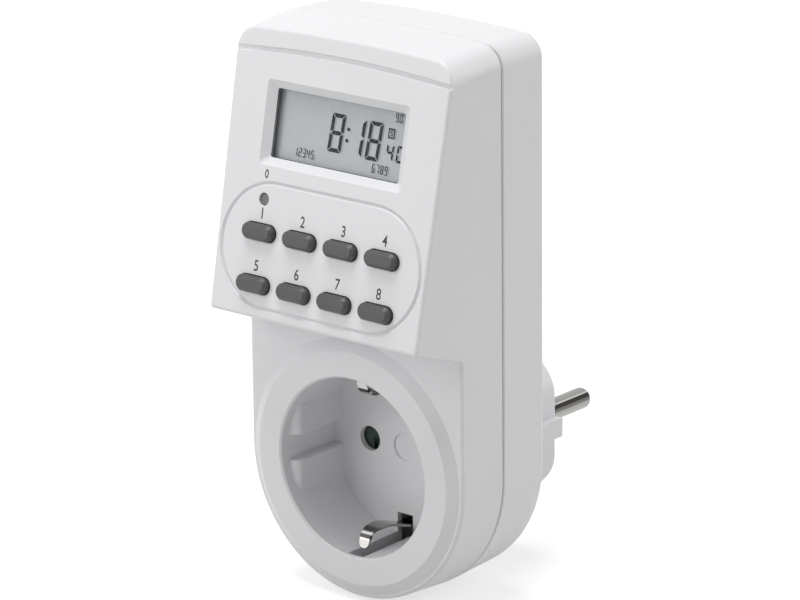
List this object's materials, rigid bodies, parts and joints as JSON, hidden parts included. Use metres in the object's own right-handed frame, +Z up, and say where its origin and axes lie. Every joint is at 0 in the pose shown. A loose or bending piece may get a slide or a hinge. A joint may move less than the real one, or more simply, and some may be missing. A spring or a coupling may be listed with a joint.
{
  "type": "digital timer",
  "caption": "Plug-in digital timer with an earthed socket and plug, sloping console, display and soft-touch keys, built from its separate parts",
  "frame": {"origin": "middle of the plug's face, between its two pins", "axes": "+Y along the plug pins, away from the socket; +Z up towards the console; +X to the right of a viewer who faces the socket"},
  "size_m": [0.0592, 0.0806, 0.1229],
  "materials": {
    "white_plastic": "fine matte, moulded",
    "key_plastic": "fine matte, moulded",
    "clear_window": "clear, polished",
    "display_glass": "grey-green, smooth",
    "black_plastic": "matte",
    "rubber": "matte",
    "circuit_board": "lacquered",
    "board_plastic": "pressed, matte",
    "steel": "zinc plated",
    "nickel": "nickel plated",
    "brass": "bare, bright",
    "ribbon_plastic": "satin",
    "relay_case": "satin",
    "capacitor_case": "satin",
    "resistor_body": "lacquered",
    "shutter_plastic": "satin"
  },
  "bodies": {
    "root": {"front_housing": "white_plastic", "rear_housing": "white_plastic", "display_window": "clear_window", "lcd_frame": "black_plastic", "lcd_glass": "display_glass", "contact_strip": "rubber", "keypad_mat": "rubber", "control_board": "circuit_board", "power_board": "circuit_board", "control_board_screws": "steel", "power_board_screws": "steel", "housing_screws": "steel", "timer_chip": "black_plastic", "quartz_crystal": "steel", "backup_battery": "steel", "battery_tabs": "nickel", "board_ribbon": "ribbon_plastic", "relay": "relay_case", "film_capacitor": "capacitor_case", "smoothing_capacitor": "black_plastic", "rectifier_diodes": "black_plastic", "series_resistor": "resistor_body", "relay_transistor": "black_plastic", "socket_earth_clips": "nickel", "plug_earth_strip": "nickel", "earth_rivet": "brass", "live_contact": "brass", "neutral_contact": "brass", "live_strap": "brass", "live_pin": "nickel", "neutral_pin": "nickel", "contact_plate": "board_plastic", "shutter_cover": "white_plastic", "shutter_spring": "steel"},
    "week_button": {"week_button": "key_plastic"},
    "hour_button": {"hour_button": "key_plastic"},
    "minute_button": {"minute_button": "key_plastic"},
    "recall_button": {"recall_button": "key_plastic"},
    "clock_button": {"clock_button": "key_plastic"},
    "timer_button": {"timer_button": "key_plastic"},
    "mode_button": {"mode_button": "key_plastic"},
    "random_button": {"random_button": "key_plastic"},
    "reset_button": {"reset_button": "key_plastic"},
    "safety_shutter": {"safety_shutter": "shutter_plastic"}
  },
  "joints": [
    {"name": "week_press", "type": "slide", "parent": "root", "child": "week_button", "axis": [0, 0.9792, -0.2028], "range_m": [0, 0.0008], "stiffness_N_per_m": 1500, "springref_m": -0.0002},
    {"name": "hour_press", "type": "slide", "parent": "root", "child": "hour_button", "axis": [0, 0.9792, -0.2028], "range_m": [0, 0.0008], "stiffness_N_per_m": 1500, "springref_m": -0.0002},
    {"name": "minute_press", "type": "slide", "parent": "root", "child": "minute_button", "axis": [0, 0.9792, -0.2028], "range_m": [0, 0.0008], "stiffness_N_per_m": 1500, "springref_m": -0.0002},
    {"name": "recall_press", "type": "slide", "parent": "root", "child": "recall_button", "axis": [0, 0.9792, -0.2028], "range_m": [0, 0.0008], "stiffness_N_per_m": 1500, "springref_m": -0.0002},
    {"name": "clock_press", "type": "slide", "parent": "root", "child": "clock_button", "axis": [0, 0.9792, -0.2028], "range_m": [0, 0.0008], "stiffness_N_per_m": 1500, "springref_m": -0.0002},
    {"name": "timer_press", "type": "slide", "parent": "root", "child": "timer_button", "axis": [0, 0.9792, -0.2028], "range_m": [0, 0.0008], "stiffness_N_per_m": 1500, "springref_m": -0.0002},
    {"name": "mode_press", "type": "slide", "parent": "root", "child": "mode_button", "axis": [0, 0.9792, -0.2028], "range_m": [0, 0.0008], "stiffness_N_per_m": 1500, "springref_m": -0.0002},
    {"name": "random_press", "type": "slide", "parent": "root", "child": "random_button", "axis": [0, 0.9792, -0.2028], "range_m": [0, 0.0008], "stiffness_N_per_m": 1500, "springref_m": -0.0002},
    {"name": "reset_press", "type": "slide", "parent": "root", "child": "reset_button", "axis": [0, 0.9792, -0.2028], "range_m": [0, 0.0008], "stiffness_N_per_m": 1000, "springref_m": -0.0002},
    {"name": "shutter_turn", "type": "hinge", "parent": "root", "child": "safety_shutter", "pos_m": [0, -0.0283, 0], "axis": [0, 1, 0], "range_deg": [0, 38], "stiffness_Nm_per_rad": 0.004, "springref_deg": -11.46}
  ]
}
